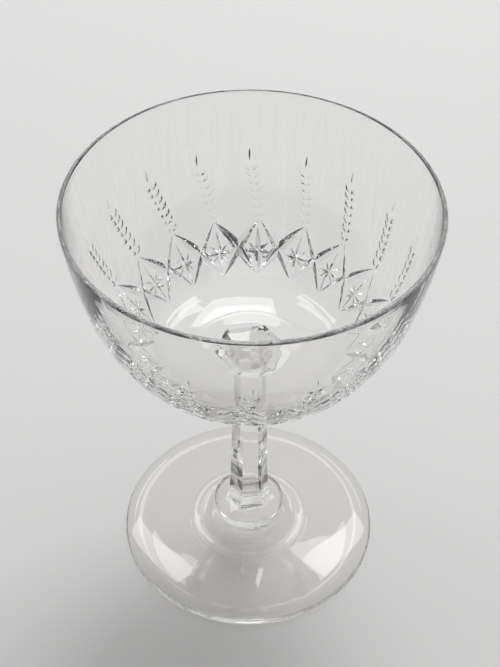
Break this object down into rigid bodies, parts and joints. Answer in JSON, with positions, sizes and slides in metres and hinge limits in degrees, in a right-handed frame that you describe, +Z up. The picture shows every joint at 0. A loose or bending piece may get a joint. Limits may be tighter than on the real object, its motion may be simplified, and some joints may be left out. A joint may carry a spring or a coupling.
{
  "type": "wine glass",
  "caption": "Stemmed coupe drinking glass: wide open bowl with a band of cut diamonds and leaning grain ears, faceted stem, thin wafer and round foot.",
  "frame": {"origin": "centre of the foot, on the plane that it stands on", "axes": "+Z up along the turning axis; -Y is the side that faces the viewer, and a corner of the stem is 10 degrees round from +X"},
  "size_m": [0.0948, 0.0948, 0.1281],
  "materials": {
    "bowl_crystal": "polished clear crystal, wheel-cut outside",
    "stem_crystal": "polished clear crystal, cut flat sides",
    "wafer_crystal": "polished clear crystal",
    "foot_crystal": "polished clear crystal, hollow ground out under the middle"
  },
  "bodies": {
    "root": {"bowl": "bowl_crystal", "stem": "stem_crystal", "wafer": "wafer_crystal", "foot": "foot_crystal"}
  },
  "joints": []
}
